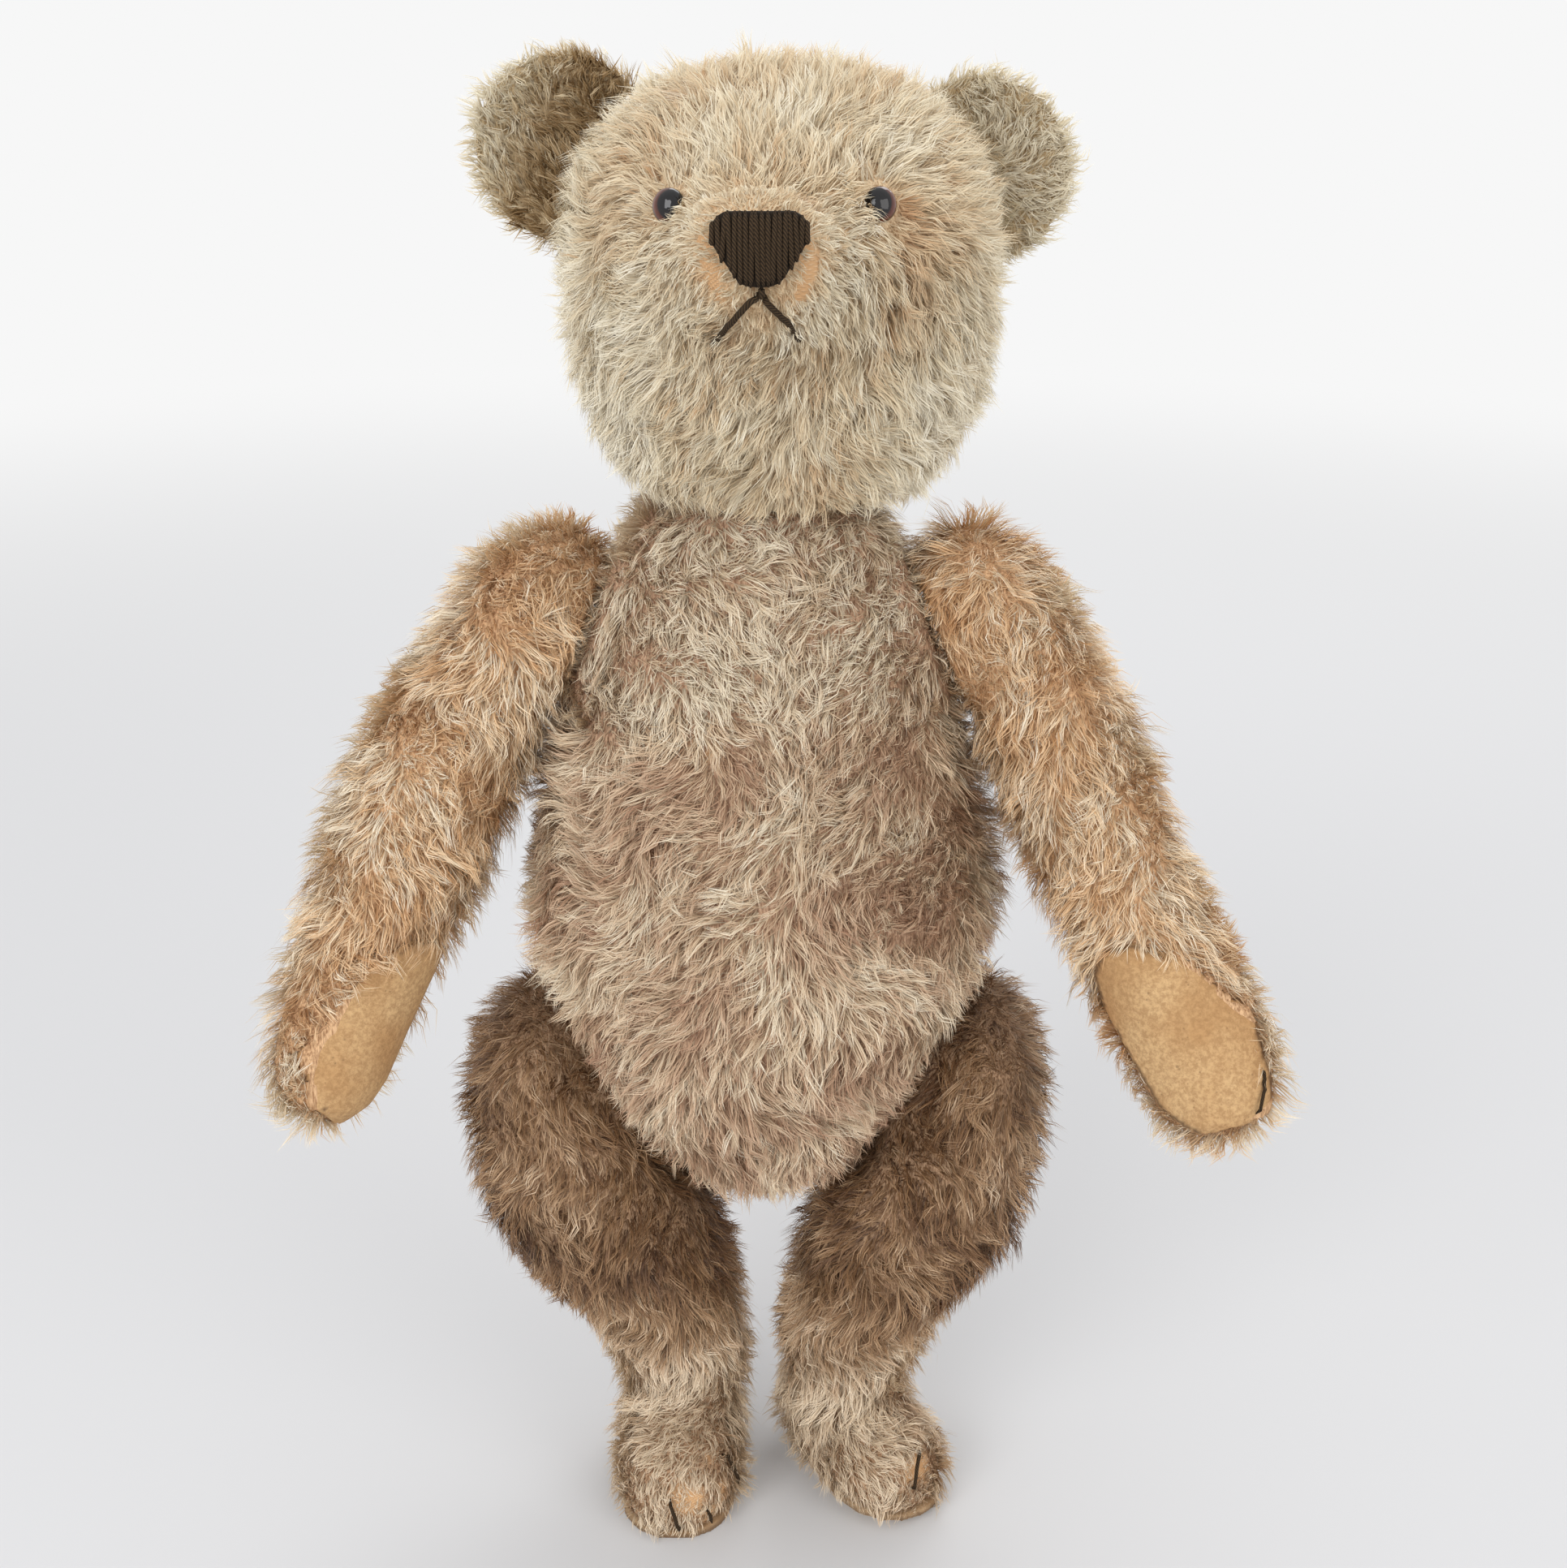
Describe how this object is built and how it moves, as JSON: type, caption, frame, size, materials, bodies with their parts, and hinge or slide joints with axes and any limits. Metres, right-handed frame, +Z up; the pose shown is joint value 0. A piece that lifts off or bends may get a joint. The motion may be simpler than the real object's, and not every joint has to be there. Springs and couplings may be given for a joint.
{
  "type": "teddy bear",
  "caption": "Antique stuffed teddy bear of worn mohair plush with a disc-jointed head, arms and legs, felt paw and foot pads, glass eyes and a stitched yarn nose.",
  "frame": {"origin": "on the floor under the middle of the bear's bounding box", "axes": "+Z up, the face looks along -Y, +X is the bear's own left side"},
  "size_m": [0.3958, 0.199, 0.6073],
  "materials": {
    "head_mohair": "matte",
    "ear_mohair": "matte",
    "torso_mohair": "matte",
    "arm_mohair": "matte",
    "leg_mohair": "matte",
    "felt": "matte",
    "yarn": "matte",
    "glass": "gloss",
    "card": "matte",
    "steel": "satin"
  },
  "bodies": {
    "torso": {"torso": "torso_mohair", "neck_body_disc": "card", "neck_body_washer": "steel", "shoulder_left_body_disc": "card", "shoulder_left_body_washer": "steel", "shoulder_right_body_disc": "card", "shoulder_right_body_washer": "steel", "hip_left_body_disc": "card", "hip_left_body_washer": "steel", "hip_right_body_disc": "card", "hip_right_body_washer": "steel"},
    "head": {"head": "head_mohair", "nose": "yarn", "eye_left": "glass", "eye_right": "glass", "ear_left": "ear_mohair", "ear_right": "ear_mohair", "neck_limb_disc": "card", "neck_limb_washer": "steel", "neck_pin": "steel"},
    "arm_left": {"arm_left": "arm_mohair", "paw_pad_left": "felt", "shoulder_left_limb_disc": "card", "shoulder_left_limb_washer": "steel", "shoulder_left_pin": "steel"},
    "arm_right": {"arm_right": "arm_mohair", "paw_pad_right": "felt", "shoulder_right_limb_disc": "card", "shoulder_right_limb_washer": "steel", "shoulder_right_pin": "steel"},
    "leg_left": {"leg_left": "leg_mohair", "foot_pad_left": "felt", "hip_left_limb_disc": "card", "hip_left_limb_washer": "steel", "hip_left_pin": "steel"},
    "leg_right": {"leg_right": "leg_mohair", "foot_pad_right": "felt", "hip_right_limb_disc": "card", "hip_right_limb_washer": "steel", "hip_right_pin": "steel"}
  },
  "joints": [
    {"name": "neck", "type": "hinge", "parent": "torso", "child": "head", "pos_m": [-0.00337, 0.0315, 0.452], "axis": [0, 0, 1], "continuous": true},
    {"name": "shoulder_left", "type": "hinge", "parent": "torso", "child": "arm_left", "pos_m": [0.06263, 0.0315, 0.4], "axis": [-0.9272, 0, -0.3746], "range_deg": [-110, 100]},
    {"name": "shoulder_right", "type": "hinge", "parent": "torso", "child": "arm_right", "pos_m": [-0.06937, 0.0315, 0.4], "axis": [-0.9272, 0, 0.3746], "range_deg": [-110, 100]},
    {"name": "hip_left", "type": "hinge", "parent": "torso", "child": "leg_left", "pos_m": [0.05763, 0.0315, 0.214], "axis": [-0.891, 0, 0.454], "range_deg": [-85, 85]},
    {"name": "hip_right", "type": "hinge", "parent": "torso", "child": "leg_right", "pos_m": [-0.06437, 0.0315, 0.214], "axis": [-0.891, 0, -0.454], "range_deg": [-85, 85]}
  ]
}
